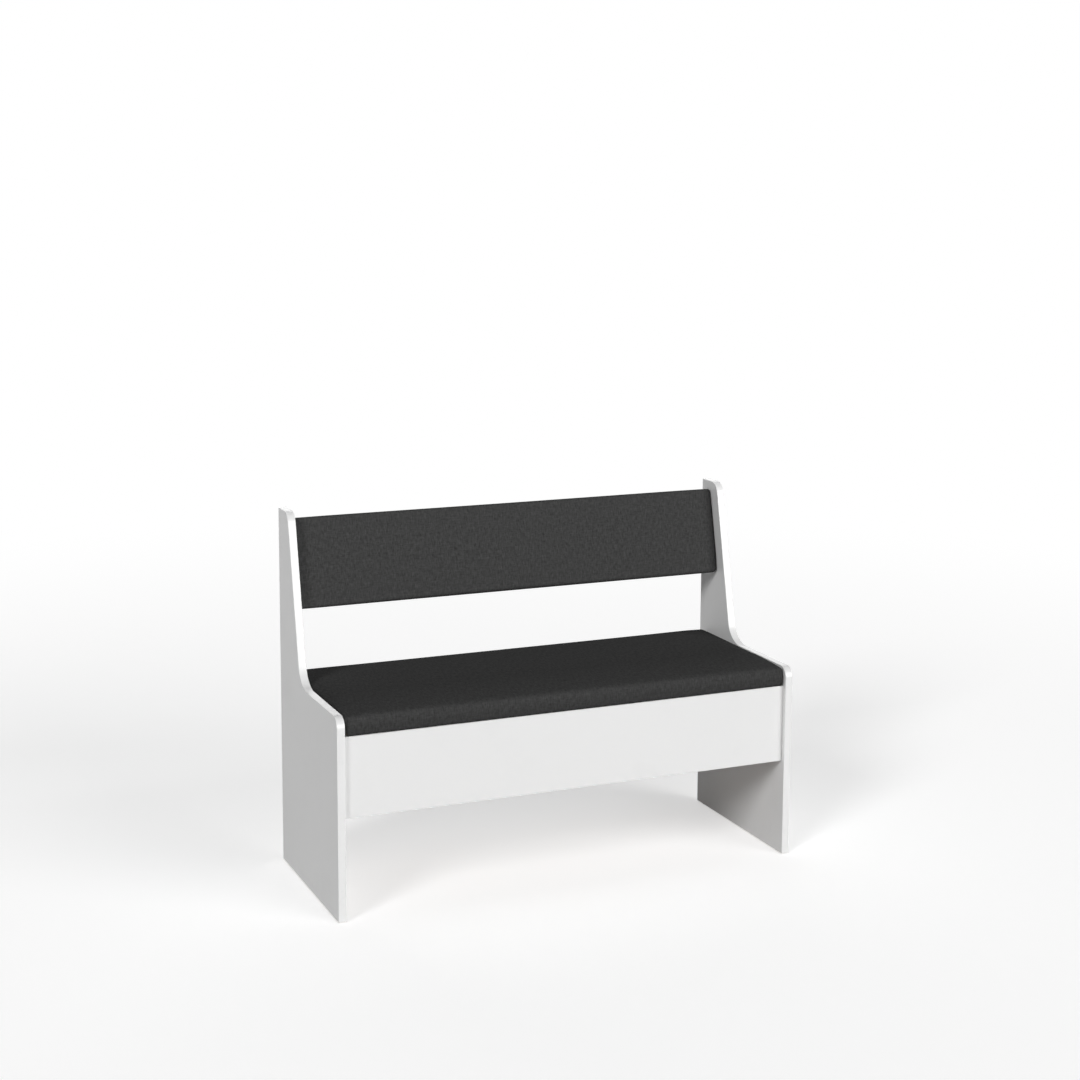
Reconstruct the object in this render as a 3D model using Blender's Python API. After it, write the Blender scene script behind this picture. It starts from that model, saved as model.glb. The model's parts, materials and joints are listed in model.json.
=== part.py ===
# Two-seat storage bench: board sides, a chest under a hinged upholstered seat, and a leaning backrest.
# Metres, +Z up. The front faces -Y, and the origin is on the floor under the middle of the bench.
from math import ceil, cos, pi, radians, sin, tan

import bmesh
import bpy
from mathutils import Matrix, Vector

# Overall sizes
BENCH_WIDTH = 1.100
BENCH_DEPTH = 0.420
BENCH_HEIGHT = 0.827

# Side panels: a straight ledge beside the seat, then an edge that leans back to a flat top
SIDE_THICKNESS = 0.018
LEDGE_HEIGHT = 0.449
TOP_DEPTH = 0.0705
LEAN_ANGLE = radians(12.4)
FRONT_CORNER_RADIUS = 0.025
VALLEY_RADIUS = 0.060
TOP_CORNER_RADIUS = 0.030
BAND_THICKNESS = 0.001

# Glides nailed under the side panels
GLIDE_HEIGHT = 0.002
GLIDE_RADIUS = 0.008
GLIDE_INSET = 0.030
NAIL_RADIUS = 0.00125
NAIL_LENGTH = 0.012

# Chest under the seat
CHEST_BELOW_LEDGE = 0.045
CHEST_HEIGHT = 0.1795
CHEST_BOARD = 0.016
FRONT_SETBACK = 0.010
REAR_INSET = 0.070
FLOOR_THICKNESS = 0.005
FLOOR_RISE = 0.012
GROOVE_DEPTH = 0.006
FLOOR_END_GAP = 0.001

# Cam fittings and dowels at the ends of the chest boards
CAM_RADIUS = 0.0075
CAM_DEPTH = 0.0125
CAM_DISTANCE = 0.024
CAM_SLOT_LENGTH = 0.009
CAM_SLOT_WIDTH = 0.0016
CAM_SLOT_DEPTH = 0.0015
BOLT_RADIUS = 0.0025
BOLT_HEAD_RADIUS = 0.003
BOLT_HEAD_LENGTH = 0.0025
BOLT_SCREW_DEPTH = 0.010
DOWEL_RADIUS = 0.004
DOWEL_IN_SIDE = 0.010
DOWEL_IN_BOARD = 0.020
DOWEL_CHAMFER = 0.001
DOWEL_SPACING = 0.110

# Upholstery that the seat and the backrest share
PADDED_BOARD = 0.016
COVER_THICKNESS = 0.0012
LINING_THICKNESS = 0.0006
COVER_WRAP = 0.025
COVER_FOOT = 0.005
BOARD_CHAMFER = 0.0035
SIDE_BULGE = 0.001
PLAN_CORNER = 0.010
CROWN_POWER = 2.5
FOAM_GAP = 0.0005

# Seat lid
LID_GAP = 0.0005
SEAT_THICKNESS = 0.050
SEAT_CROWN = 0.004
SEAT_EDGE_RADIUS = 0.008
SEAT_CROWN_RISE = 0.095
SEAT_SETBACK = 0.003
SEAT_REAR_GAP = 0.017
SEAT_END_GAP = 0.002

# Backrest, parallel to the leaning edges of the side panels
BACK_HEIGHT = 0.206
BACK_TOP_DROP = 0.0162
BACK_SETBACK = 0.025
BACK_THICKNESS = 0.043
BACK_CROWN = 0.003
BACK_EDGE_RADIUS = 0.009
BACK_CROWN_RISE = 0.060
BACK_END_GAP = 0.001

# Steel angles that hold the backrest
BRACKET_LENGTH = 0.080
BRACKET_BOARD_LEG = 0.042
BRACKET_PANEL_LEG = 0.018
BRACKET_THICKNESS = 0.002
BRACKET_SCREW_SPACING = 0.050

# Lid hinges
HINGE_SPACING = 0.700
HINGE_LENGTH = 0.060
LEAF_WIDTH = 0.030
LEAF_THICKNESS = 0.0015
KNUCKLE_RADIUS = 0.003
KNUCKLE_STEP = 0.0002
KNUCKLE_GAP = 0.0004
LEAF_CLEARANCE = 0.0006
PIN_RADIUS = 0.0015
PIN_CLEARANCE = 0.00015
PIN_HEAD_RADIUS = 0.0022
PIN_HEAD_LENGTH = 0.001
HINGE_SCREW_SPACING = 0.036

# Countersunk screws of the hinges and the angles
SCREW_HEAD_RADIUS = 0.0035
SCREW_HEAD_LENGTH = 0.0014
SCREW_RADIUS = 0.0017
SCREW_LENGTH = 0.012
SCREW_POINT = 0.003

# Clearances and how finely round shapes are divided
FIT_GAP = 0.0003
HOLE_END_GAP = 0.001
OVERCUT = 0.001
ARC_STEP = radians(6)
SHARP_ANGLE = radians(32)
ROUND_SIDES = 12
HOLE_SIDES = 16
CAM_SIDES = 20
CAM_HOLE_SIDES = 24
PLAN_CORNER_STEPS = 3
LONG_STEPS = 8
SHORT_STEPS = 4
EDGE_STEPS = 3
CROWN_STEPS = 4
CROWN_STEP_POWER = 1.5
MERGE_DISTANCE = 0.00001

# Worked out from the sizes above
INNER_HALF = BENCH_WIDTH / 2 - SIDE_THICKNESS
BOARD_HALF = INNER_HALF - FIT_GAP
FRONT_EDGE = -BENCH_DEPTH / 2
BACK_EDGE = BENCH_DEPTH / 2
CHEST_TOP = LEDGE_HEIGHT - CHEST_BELOW_LEDGE
CHEST_BOTTOM = CHEST_TOP - CHEST_HEIGHT
REAR_FACE = BACK_EDGE - REAR_INSET
LID_BOTTOM = CHEST_TOP + LID_GAP
BOARD_LEVEL = COVER_THICKNESS + FIT_GAP
LEAF_OFFSET = KNUCKLE_RADIUS + KNUCKLE_STEP
LEAF_LEVEL = LID_BOTTOM + COVER_THICKNESS - LINING_THICKNESS - FIT_GAP
HINGE_Y = REAR_FACE + FIT_GAP + LEAF_OFFSET
HINGE_Z = LEAF_LEVEL - LEAF_OFFSET
REAR_TOP = LEAF_LEVEL - LEAF_THICKNESS - FIT_GAP
TOP_FRONT = BACK_EDGE - TOP_DEPTH
BACK_TOP = BENCH_HEIGHT - BACK_TOP_DROP
BACK_BOTTOM = BACK_TOP - BACK_HEIGHT * cos(LEAN_ANGLE)
BACK_BOTTOM_FRONT = TOP_FRONT + BACK_SETBACK - (BENCH_HEIGHT - BACK_BOTTOM) * tan(LEAN_ANGLE)

FINISHES = {
    "melamine": ((0.80, 0.80, 0.79), 0.42, 0.0),
    "hardboard": ((0.72, 0.71, 0.69), 0.55, 0.0),
    "edging": ((0.82, 0.82, 0.81), 0.38, 0.0),
    "chipboard": ((0.52, 0.38, 0.24), 0.85, 0.0),
    "beech": ((0.66, 0.48, 0.30), 0.70, 0.0),
    "foam": ((0.83, 0.79, 0.62), 0.95, 0.0),
    "fabric": ((0.045, 0.045, 0.046), 0.95, 0.0),
    "lining": ((0.02, 0.02, 0.02), 0.95, 0.0),
    "zinc": ((0.62, 0.62, 0.60), 0.35, 1.0),
    "plastic": ((0.70, 0.70, 0.69), 0.50, 0.0),
}
SIDES = {"left": -1, "right": 1}


def finish(name, kind):
    colour, roughness, metallic = FINISHES[kind]
    material = bpy.data.materials.new(name)
    material.use_nodes = True
    shader = material.node_tree.nodes["Principled BSDF"]
    shader.inputs["Base Color"].default_value = (*colour, 1.0)
    shader.inputs["Roughness"].default_value = roughness
    shader.inputs["Metallic"].default_value = metallic
    return material


# A form becomes an object, placed in its carrier's frame or in the world.
def make_object(name, form, place=(0, 0, 0), turn=(0, 0, 0), carrier=None):
    bmesh.ops.recalc_face_normals(form, faces=form.faces)
    mesh = bpy.data.meshes.new(name)
    form.to_mesh(mesh)
    form.free()
    mesh.shade_smooth()
    mesh.set_sharp_from_angle(angle=SHARP_ANGLE)
    thing = bpy.data.objects.new(name, mesh)
    bpy.context.scene.collection.objects.link(thing)
    thing.location = place
    thing.rotation_euler = turn
    thing.parent = carrier
    return thing


def make_piece(name, form, kind, place=(0, 0, 0), turn=(0, 0, 0), carrier=None):
    piece = make_object(name, form, place, turn, carrier)
    piece.data.materials.append(finish(name, kind))
    return piece


def make_empty(name, place, turn=(0, 0, 0)):
    empty = bpy.data.objects.new(name, None)
    bpy.context.scene.collection.objects.link(empty)
    empty.location = place
    empty.rotation_euler = turn
    return empty


# Cuts the forms from a piece, or joins them to it. Their points are in the frame of space.
def combine(piece, operation, forms, space=None):
    whole = bmesh.new()
    for form in forms:
        mesh = bpy.data.meshes.new("form")
        form.to_mesh(mesh)
        form.free()
        whole.from_mesh(mesh)
        bpy.data.meshes.remove(mesh)
    helper = make_object(f"{piece.name}_{operation.lower()}", whole, carrier=space)
    helper.hide_render = True
    helper.display_type = "WIRE"
    modifier = piece.modifiers.new(operation.title(), "BOOLEAN")
    modifier.operation = operation
    modifier.solver = "EXACT"
    modifier.object = helper


def box(low, high):
    form = bmesh.new()
    low = Vector(low)
    high = Vector(high)
    place = Matrix.Translation((low + high) / 2)
    bmesh.ops.create_cube(form, size=1, matrix=place @ Matrix.Diagonal((*(high - low), 1)))
    return form


def rod(start, end, radius, sides=HOLE_SIDES):
    form = bmesh.new()
    start = Vector(start)
    end = Vector(end)
    along = end - start
    place = Matrix.Translation((start + end) / 2) @ along.to_track_quat("Z", "Y").to_matrix().to_4x4()
    bmesh.ops.create_cone(
        form, cap_ends=True, segments=sides, radius1=radius, radius2=radius, depth=along.length, matrix=place
    )
    return form


# A flat outline of 3-D points, drawn out along a vector.
def prism(outline, lift):
    form = bmesh.new()
    face = form.faces.new([form.verts.new(point) for point in outline])
    drawn = bmesh.ops.extrude_face_region(form, geom=[face])["geom"]
    bmesh.ops.translate(form, verts=[item for item in drawn if isinstance(item, bmesh.types.BMVert)], vec=lift)
    return form


# A profile of (distance, radius) pairs, from axis to axis, turned about the line from a point.
def turned(profile, point=(0, 0, 0), direction=(0, 0, 1), sides=ROUND_SIDES):
    form = bmesh.new()
    points = [form.verts.new((radius, 0, along)) for along, radius in profile]
    edges = [form.edges.new(pair) for pair in zip(points, points[1:])]
    bmesh.ops.spin(form, geom=points + edges, axis=(0, 0, 1), angle=2 * pi, steps=sides, use_merge=True)
    bmesh.ops.remove_doubles(form, verts=form.verts, dist=MERGE_DISTANCE)
    place = Matrix.Translation(point) @ Vector(direction).to_track_quat("Z", "Y").to_matrix().to_4x4()
    bmesh.ops.transform(form, verts=form.verts, matrix=place)
    return form


def cross(first, second):
    return first.x * second.y - first.y * second.x


# Each edge of an anticlockwise outline moved inwards by its own amount. A corner is (y, z, radius).
def inset(corners, amounts):
    lines = []
    for index, corner in enumerate(corners):
        start = Vector(corner[:2])
        run = Vector(corners[(index + 1) % len(corners)][:2]) - start
        lines.append((start + Vector((-run.y, run.x)).normalized() * amounts[index], run))
    moved = []
    for index, corner in enumerate(corners):
        (before, run_before), (after, run_after) = lines[index - 1], lines[index]
        turn = cross(run_before, run_after)
        point = before + run_before * (cross(after - before, run_after) / turn)
        shift = amounts[index] if turn > 0 else -amounts[index]
        moved.append((point.x, point.y, max(corner[2] - shift, 0) if corner[2] else 0))
    return moved


# The points of an outline with each corner that has a radius drawn as an arc.
def rounded(corners):
    points = []
    for index, corner in enumerate(corners):
        tip = Vector(corner[:2])
        radius = corner[2]
        if not radius:
            points.append(tip)
            continue
        back = (Vector(corners[index - 1][:2]) - tip).normalized()
        ahead = (Vector(corners[(index + 1) % len(corners)][:2]) - tip).normalized()
        half = back.angle(ahead) / 2
        centre = tip + (back + ahead).normalized() * (radius / sin(half))
        start = tip + back * (radius / tan(half)) - centre
        end = tip + ahead * (radius / tan(half)) - centre
        sweep = pi - 2 * half if cross(start, end) > 0 else 2 * half - pi
        steps = max(2, ceil(abs(sweep) / ARC_STEP))
        points += [centre + Matrix.Rotation(sweep * step / steps, 2) @ start for step in range(steps + 1)]
    return points


def in_side_plane(points, x):
    return [(x, point.x, point.y) for point in points]


# The outline of a side panel, from its bottom front corner round by the back.
def side_corners():
    valley = TOP_FRONT - (BENCH_HEIGHT - LEDGE_HEIGHT) * tan(LEAN_ANGLE)
    return [
        (FRONT_EDGE, GLIDE_HEIGHT, 0),
        (BACK_EDGE, GLIDE_HEIGHT, 0),
        (BACK_EDGE, BENCH_HEIGHT, 0),
        (TOP_FRONT, BENCH_HEIGHT, TOP_CORNER_RADIUS),
        (valley, LEDGE_HEIGHT, VALLEY_RADIUS),
        (FRONT_EDGE, LEDGE_HEIGHT, FRONT_CORNER_RADIUS),
    ]


# A side panel and the strip of edging that runs round it, all but along its foot.
def make_side(side, sign):
    corners = side_corners()
    edging_edges = len(corners) - 1
    middle = sign * (BENCH_WIDTH - SIDE_THICKNESS) / 2
    low = -SIDE_THICKNESS / 2
    lift = (SIDE_THICKNESS, 0, 0)
    core = rounded(inset(corners, [0] + [BAND_THICKNESS + FIT_GAP] * edging_edges))
    panel = make_piece(f"side_panel_{side}", prism(in_side_plane(core, low), lift), "melamine", (middle, 0, 0))
    outer = rounded(corners)
    inner = rounded(inset(corners, [0] + [BAND_THICKNESS] * edging_edges))
    strip = outer[1:] + outer[:1] + inner[:1] + inner[:0:-1]
    make_piece(f"edge_band_{side}", prism(in_side_plane(strip, low), lift), "edging", (middle, 0, 0))
    nails = []
    for end, y in {"front": FRONT_EDGE + GLIDE_INSET, "rear": BACK_EDGE - GLIDE_INSET}.items():
        disc = GLIDE_HEIGHT - FIT_GAP
        profile = [(0, 0), (0, GLIDE_RADIUS), (disc, GLIDE_RADIUS), (disc, NAIL_RADIUS)]
        profile += [(disc + NAIL_LENGTH, NAIL_RADIUS), (disc + NAIL_LENGTH, 0)]
        make_piece(f"glide_{end}_{side}", turned(profile, sides=HOLE_SIDES), "plastic", (middle, y, 0))
        top = disc + NAIL_LENGTH + HOLE_END_GAP
        nails.append(rod((middle, y, GLIDE_HEIGHT - OVERCUT), (middle, y, top), NAIL_RADIUS + FIT_GAP))
    combine(panel, "DIFFERENCE", nails)
    return panel


# A chest board with the floor's groove in its inner face. Inwards is +1 where that face looks back.
def make_chest_board(name, outer_y, inwards, top):
    inner_y = outer_y + inwards * CHEST_BOARD
    groove_y = inner_y - inwards * GROOVE_DEPTH
    groove_low = CHEST_BOTTOM + FLOOR_RISE
    groove_high = groove_low + FLOOR_THICKNESS + 2 * FIT_GAP
    outline = [(outer_y, CHEST_BOTTOM), (inner_y, CHEST_BOTTOM), (inner_y, groove_low), (groove_y, groove_low)]
    outline += [(groove_y, groove_high), (inner_y, groove_high), (inner_y, top), (outer_y, top)]
    points = [(-BOARD_HALF, y, z) for y, z in outline]
    return make_piece(name, prism(points, (2 * BOARD_HALF, 0, 0)), "melamine")


def make_chest_floor():
    low_y = FRONT_EDGE + FRONT_SETBACK + CHEST_BOARD - GROOVE_DEPTH + FIT_GAP
    high_y = REAR_FACE - CHEST_BOARD + GROOVE_DEPTH - FIT_GAP
    half = INNER_HALF - FLOOR_END_GAP
    low_z = CHEST_BOTTOM + FLOOR_RISE + FIT_GAP
    make_piece("chest_floor", box((-half, low_y, low_z), (half, high_y, low_z + FLOOR_THICKNESS)), "hardboard")


# One end of a chest board: a cam lock, its bolt in the side panel, and two dowels.
def join_to_side(board, panel, label, sign, outer_y, inwards):
    middle_y = outer_y + inwards * CHEST_BOARD / 2
    inner_y = outer_y + inwards * CHEST_BOARD
    middle_z = CHEST_BOTTOM + CHEST_HEIGHT / 2
    cam_x = sign * (BOARD_HALF - CAM_DISTANCE)
    screw_x = sign * (INNER_HALF + BOLT_SCREW_DEPTH)

    hole_y = inner_y - inwards * (CAM_DEPTH + FIT_GAP)
    cam_hole = rod(
        (cam_x, inner_y + inwards * OVERCUT, middle_z), (cam_x, hole_y, middle_z), CAM_RADIUS + FIT_GAP, CAM_HOLE_SIDES
    )
    combine(board, "DIFFERENCE", [cam_hole])
    cam_body = rod((cam_x, inner_y, middle_z), (cam_x, inner_y - inwards * CAM_DEPTH, middle_z), CAM_RADIUS, CAM_SIDES)
    cam = make_piece(f"cam_lock_{label}", cam_body, "zinc")
    bolt_hole = BOLT_HEAD_RADIUS + 2 * FIT_GAP
    past = cam_x - sign * (BOLT_HEAD_RADIUS + FIT_GAP)
    combine(cam, "DIFFERENCE", [rod((past, middle_y, middle_z), (sign * BOARD_HALF, middle_y, middle_z), bolt_hole)])
    arm = CAM_SLOT_LENGTH / 2
    slot_low = min(inner_y + inwards * OVERCUT, inner_y - inwards * CAM_SLOT_DEPTH)
    slot_high = max(inner_y + inwards * OVERCUT, inner_y - inwards * CAM_SLOT_DEPTH)
    for reach_x, reach_z in ((arm, CAM_SLOT_WIDTH / 2), (CAM_SLOT_WIDTH / 2, arm)):
        slot = box((cam_x - reach_x, slot_low, middle_z - reach_z), (cam_x + reach_x, slot_high, middle_z + reach_z))
        combine(cam, "DIFFERENCE", [slot])

    length = abs(screw_x - cam_x)
    profile = [(0, 0), (0, BOLT_HEAD_RADIUS), (BOLT_HEAD_LENGTH, BOLT_HEAD_RADIUS), (BOLT_HEAD_LENGTH, BOLT_RADIUS)]
    profile += [(length, BOLT_RADIUS), (length, 0)]
    make_piece(f"cam_bolt_{label}", turned(profile, (cam_x, middle_y, middle_z), (sign, 0, 0)), "zinc")
    board_end = (sign * (BOARD_HALF + OVERCUT), middle_y, middle_z)
    board_holes = [rod((cam_x, middle_y, middle_z), board_end, bolt_hole)]
    side_holes = [
        rod(
            (sign * (INNER_HALF - OVERCUT), middle_y, middle_z),
            (screw_x + sign * HOLE_END_GAP, middle_y, middle_z),
            BOLT_RADIUS + FIT_GAP,
        )
    ]
    for level, shift in {"upper": DOWEL_SPACING / 2, "lower": -DOWEL_SPACING / 2}.items():
        z = middle_z + shift
        start = sign * (INNER_HALF - DOWEL_IN_BOARD)
        end = sign * (INNER_HALF + DOWEL_IN_SIDE)
        length = DOWEL_IN_BOARD + DOWEL_IN_SIDE
        shoulder = DOWEL_RADIUS - DOWEL_CHAMFER
        profile = [(0, 0), (0, shoulder), (DOWEL_CHAMFER, DOWEL_RADIUS), (length - DOWEL_CHAMFER, DOWEL_RADIUS)]
        profile += [(length, shoulder), (length, 0)]
        make_piece(f"dowel_{label}_{level}", turned(profile, (start, middle_y, z), (sign, 0, 0)), "beech")
        deep = (start - sign * HOLE_END_GAP, middle_y, z)
        board_holes.append(rod(deep, (sign * (BOARD_HALF + OVERCUT), middle_y, z), DOWEL_RADIUS + FIT_GAP))
        deep = (end + sign * HOLE_END_GAP, middle_y, z)
        side_holes.append(rod((sign * (INNER_HALF - OVERCUT), middle_y, z), deep, DOWEL_RADIUS + FIT_GAP))
    combine(board, "DIFFERENCE", board_holes)
    combine(panel, "DIFFERENCE", side_holes)


# A closed ring of points round a rectangle with round corners. Every ring has as many points.
def plan_ring(half_length, half_depth, corner, height):
    quadrants = ((1, 1), (-1, 1), (-1, -1), (1, -1))
    arcs = []
    for index, (along, across) in enumerate(quadrants):
        centre = Vector((along * (half_length - corner), across * (half_depth - corner)))
        angles = [(index + step / PLAN_CORNER_STEPS) * pi / 2 for step in range(PLAN_CORNER_STEPS + 1)]
        arcs.append([centre + Vector((cos(angle), sin(angle))) * corner for angle in angles])
    points = []
    for index, arc in enumerate(arcs):
        following = arcs[(index + 1) % len(arcs)][0]
        steps = SHORT_STEPS if index % 2 else LONG_STEPS
        points += arc + [arc[-1].lerp(following, step / steps) for step in range(1, steps)]
    return [(point.x, point.y, height(point)) for point in points]


def loft(rings, closed_start=True):
    form = bmesh.new()
    loops = [[form.verts.new(point) for point in ring] for ring in rings]
    for lower, upper in zip(loops, loops[1:]):
        for index in range(len(lower)):
            after = (index + 1) % len(lower)
            form.faces.new((lower[index], lower[after], upper[after], upper[index]))
    form.faces.new(loops[-1])
    if closed_start:
        form.faces.new(reversed(loops[0]))
    return form


# Board, foam, cover and lining of one padded panel. Its frame has the back of the cover at z = 0.
def make_padded_panel(name, length, depth, thickness, crown, edge_radius, rise, place, turn, carrier):
    half_length = length / 2
    half_depth = depth / 2
    edge_level = thickness - crown - edge_radius
    board_top = BOARD_LEVEL + PADDED_BOARD

    def swell(distance):
        share = min(max((distance - edge_radius) / (rise - edge_radius), 0), 1)
        return 1 - (1 - share) ** CROWN_POWER

    def ring(margin, height):
        corner = max(PLAN_CORNER - margin, BOARD_LEVEL)
        return plan_ring(half_length - margin, half_depth - margin, corner, height)

    # The padded surface at a depth below the cloth's outer face: side, rolled edge, then crown.
    def padded_rings(below):
        rings = [ring(below, lambda point: edge_level)]
        for step in range(1, EDGE_STEPS + 1):
            angle = step / EDGE_STEPS * pi / 2
            margin = edge_radius - (edge_radius - below) * cos(angle)
            level = edge_level + (edge_radius - below) * sin(angle)
            rings.append(ring(margin, lambda point, level=level: level))
        for step in range(1, CROWN_STEPS + 1):
            margin = edge_radius + (rise - edge_radius) * (step / CROWN_STEPS) ** CROWN_STEP_POWER
            rings.append(
                ring(
                    margin,
                    lambda point: thickness
                    - below
                    - crown * (1 - swell(half_length - abs(point.x)) * swell(half_depth - abs(point.y))),
                )
            )
        return rings

    under = [(COVER_WRAP, 0), (SIDE_BULGE + COVER_FOOT, 0)]
    under.append((SIDE_BULGE + COVER_FOOT * (1 - cos(pi / 4)), COVER_FOOT * (1 - sin(pi / 4))))
    under += [(SIDE_BULGE, COVER_FOOT), (SIDE_BULGE, board_top)]
    wrap_rings = [ring(margin, lambda point, level=level: level) for margin, level in under]
    cover = make_piece(
        f"{name}_cover", loft(wrap_rings + padded_rings(0), closed_start=False), "fabric", place, turn, carrier
    )
    wall = cover.modifiers.new("Cloth thickness", "SOLIDIFY")
    wall.thickness = COVER_THICKNESS
    wall.offset = -1
    wall.use_even_offset = True

    foam_depth = COVER_THICKNESS + FOAM_GAP
    base = ring(SIDE_BULGE + foam_depth, lambda point: board_top + FIT_GAP)
    make_piece(f"{name}_foam", loft([base] + padded_rings(foam_depth)), "foam", place, turn, carrier)

    board_margin = SIDE_BULGE + COVER_THICKNESS + FIT_GAP
    board_steps = [(board_margin + BOARD_CHAMFER, BOARD_LEVEL), (board_margin, BOARD_LEVEL + BOARD_CHAMFER)]
    board_steps.append((board_margin, board_top))
    board_rings = [ring(margin, lambda point, level=level: level) for margin, level in board_steps]
    board = make_piece(f"{name}_board", loft(board_rings), "chipboard", place, turn, carrier)

    lining_levels = (COVER_THICKNESS - LINING_THICKNESS, COVER_THICKNESS)
    lining_rings = [ring(COVER_WRAP + FIT_GAP, lambda point, level=level: level) for level in lining_levels]
    lining = make_piece(f"{name}_lining", loft(lining_rings), "lining", place, turn, carrier)
    return board, lining


# A countersunk screw with its head flush at a point, and the holes it needs.
def make_screw(name, point, direction, carrier):
    profile = [(0, 0), (0, SCREW_HEAD_RADIUS), (SCREW_HEAD_LENGTH, SCREW_RADIUS)]
    profile += [(SCREW_LENGTH - SCREW_POINT, SCREW_RADIUS), (SCREW_LENGTH, 0)]
    make_piece(name, turned(profile, point, direction), "zinc", carrier=carrier)


def countersink(point, direction):
    slope = (SCREW_HEAD_RADIUS - SCREW_RADIUS) / SCREW_HEAD_LENGTH
    wide = SCREW_HEAD_RADIUS + FIT_GAP + OVERCUT * slope
    narrow = SCREW_RADIUS + FIT_GAP
    profile = [(-OVERCUT, 0), (-OVERCUT, wide), (SCREW_HEAD_LENGTH, narrow), (SCREW_LENGTH, narrow), (SCREW_LENGTH, 0)]
    return turned(profile, point, direction, HOLE_SIDES)


def pilot_hole(point, direction):
    along = Vector(direction)
    return rod(Vector(point), Vector(point) + along * (SCREW_LENGTH + HOLE_END_GAP), SCREW_RADIUS + FIT_GAP)


# Steel angle between the back of the backrest and a side panel, in the backrest's frame.
def make_bracket(side, sign, panel, board, lining, tilt):
    back = BACK_THICKNESS + FIT_GAP
    outer_x = sign * BOARD_HALF
    inner_x = sign * (BOARD_HALF - BRACKET_THICKNESS)
    board_x = sign * (BOARD_HALF - BRACKET_BOARD_LEG)
    low = (BACK_HEIGHT - BRACKET_LENGTH) / 2
    outline = [(outer_x, back), (board_x, back), (board_x, back + BRACKET_THICKNESS)]
    outline += [(inner_x, back + BRACKET_THICKNESS), (inner_x, back + BRACKET_PANEL_LEG)]
    outline.append((outer_x, back + BRACKET_PANEL_LEG))
    form = prism([(x, y, low) for x, y in outline], (0, 0, BRACKET_LENGTH))
    bracket = make_piece(f"backrest_bracket_{side}", form, "zinc", carrier=tilt)
    screw_x = sign * (BOARD_HALF - (COVER_WRAP + BRACKET_BOARD_LEG) / 2)
    screw_y = back + (BRACKET_THICKNESS + BRACKET_PANEL_LEG) / 2
    for level, shift in {"upper": BRACKET_SCREW_SPACING / 2, "lower": -BRACKET_SCREW_SPACING / 2}.items():
        z = BACK_HEIGHT / 2 + shift
        into_board = ((screw_x, back + BRACKET_THICKNESS, z), (0, -1, 0))
        into_panel = ((inner_x, screw_y, z), (sign, 0, 0))
        make_screw(f"bracket_board_screw_{side}_{level}", *into_board, tilt)
        make_screw(f"bracket_panel_screw_{side}_{level}", *into_panel, tilt)
        combine(bracket, "DIFFERENCE", [countersink(*into_board)], tilt)
        combine(bracket, "DIFFERENCE", [countersink(*into_panel)], tilt)
        combine(board, "DIFFERENCE", [pilot_hole(*into_board)], tilt)
        combine(lining, "DIFFERENCE", [pilot_hole(*into_board)], tilt)
        combine(panel, "DIFFERENCE", [pilot_hole(*into_panel)], tilt)


# A hinge leaf hanging below the axis with its mounting face at -Y. Knuckles and gaps are ranges of x.
def make_leaf(name, centre, knuckles, notches, turn, carrier):
    half = HINGE_LENGTH / 2
    plate = box((centre - half, -LEAF_OFFSET, -LEAF_WIDTH), (centre + half, LEAF_THICKNESS - LEAF_OFFSET, 0))
    leaf = make_piece(name, plate, "zinc", turn=turn, carrier=carrier)
    rolls = [rod((low, 0, 0), (high, 0, 0), KNUCKLE_RADIUS) for low, high in knuckles]
    combine(leaf, "UNION", rolls, leaf)
    floor = -KNUCKLE_RADIUS - LEAF_CLEARANCE
    reach = LEAF_OFFSET + OVERCUT
    gaps = [box((low, -reach, floor), (high, reach, reach)) for low, high in notches]
    combine(leaf, "DIFFERENCE", gaps, leaf)
    bore = rod((centre - half - OVERCUT, 0, 0), (centre + half + OVERCUT, 0, 0), PIN_RADIUS + PIN_CLEARANCE)
    combine(leaf, "DIFFERENCE", [bore], leaf)
    return leaf


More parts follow.
